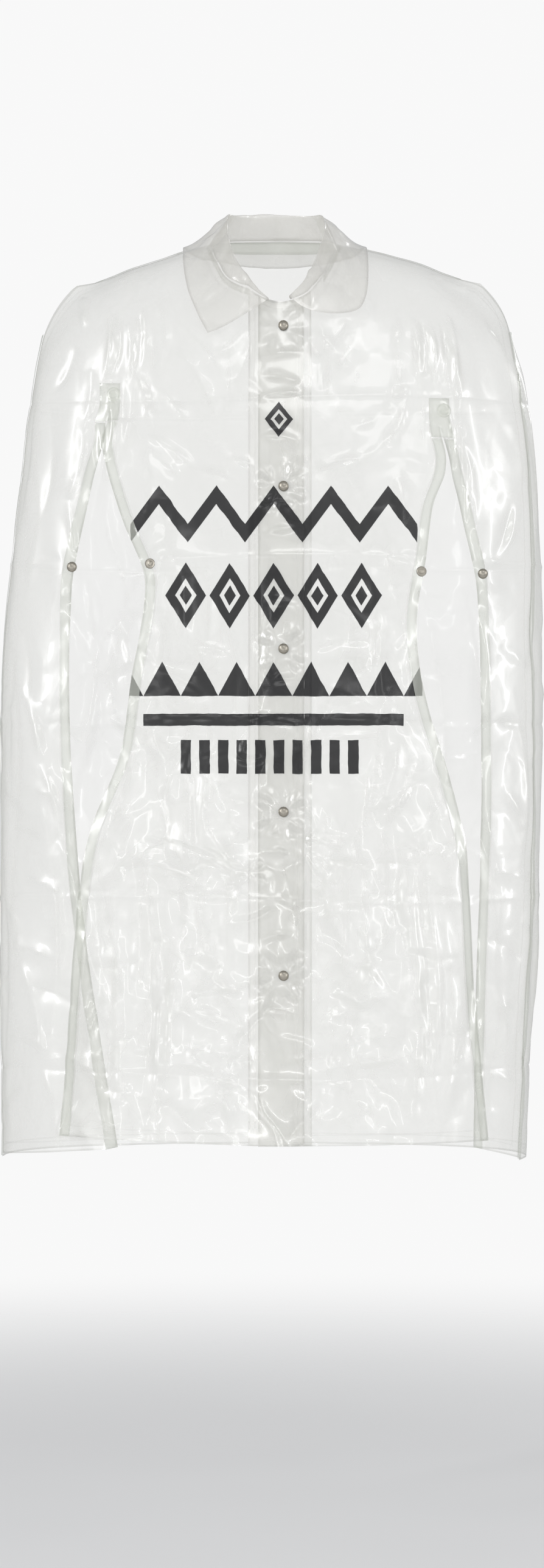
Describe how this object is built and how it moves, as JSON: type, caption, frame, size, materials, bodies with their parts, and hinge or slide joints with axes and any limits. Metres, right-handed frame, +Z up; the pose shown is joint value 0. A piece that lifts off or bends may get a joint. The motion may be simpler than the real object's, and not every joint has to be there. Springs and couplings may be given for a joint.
{
  "type": "poncho jacket",
  "caption": "Long clear film poncho coat, worn, with a pointed shirt collar, a snap front and an open slit for each arm from chest to hem.",
  "frame": {"origin": "middle of the neck seat, level with the tops of the wearer's shoulders, where the wearer's neck and shoulders carry the garment", "axes": "+Z up along the garment's length, the front faces -Y, the wearer's left is at +X"},
  "size_m": [0.6605, 0.3173, 1.1565],
  "materials": {
    "clear_film": "clear, soft, slightly milky plastic film with a high gloss",
    "dense_film": "the same film doubled or welded, denser and a little warmer",
    "snap_metal": "dull nickel"
  },
  "bodies": {
    "root": {"back": "clear_film", "front_left": "clear_film", "front_right": "clear_film", "collar": "dense_film", "neck_facing_back": "dense_film", "neck_facing_left": "dense_film", "neck_facing_right": "dense_film", "shoulder_seam_left": "dense_film", "shoulder_seam_right": "dense_film", "side_seam_left": "dense_film", "side_seam_right": "dense_film", "slit_facing_inner_left": "dense_film", "slit_facing_inner_right": "dense_film", "slit_facing_outer_left": "dense_film", "slit_facing_outer_right": "dense_film", "slit_patch_left": "dense_film", "slit_patch_right": "dense_film", "slit_ring_left": "dense_film", "slit_ring_right": "dense_film", "slit_socket_left": "snap_metal", "slit_socket_right": "snap_metal", "slit_stud_left": "snap_metal", "slit_stud_right": "snap_metal", "snap_band": "dense_film", "snap_underlap": "dense_film", "snap_cap_1": "snap_metal", "snap_cap_2": "snap_metal", "snap_cap_3": "snap_metal", "snap_cap_4": "snap_metal", "snap_cap_5": "snap_metal", "snap_stud_1": "snap_metal", "snap_stud_2": "snap_metal", "snap_stud_3": "snap_metal", "snap_stud_4": "snap_metal", "snap_stud_5": "snap_metal"}
  },
  "joints": []
}
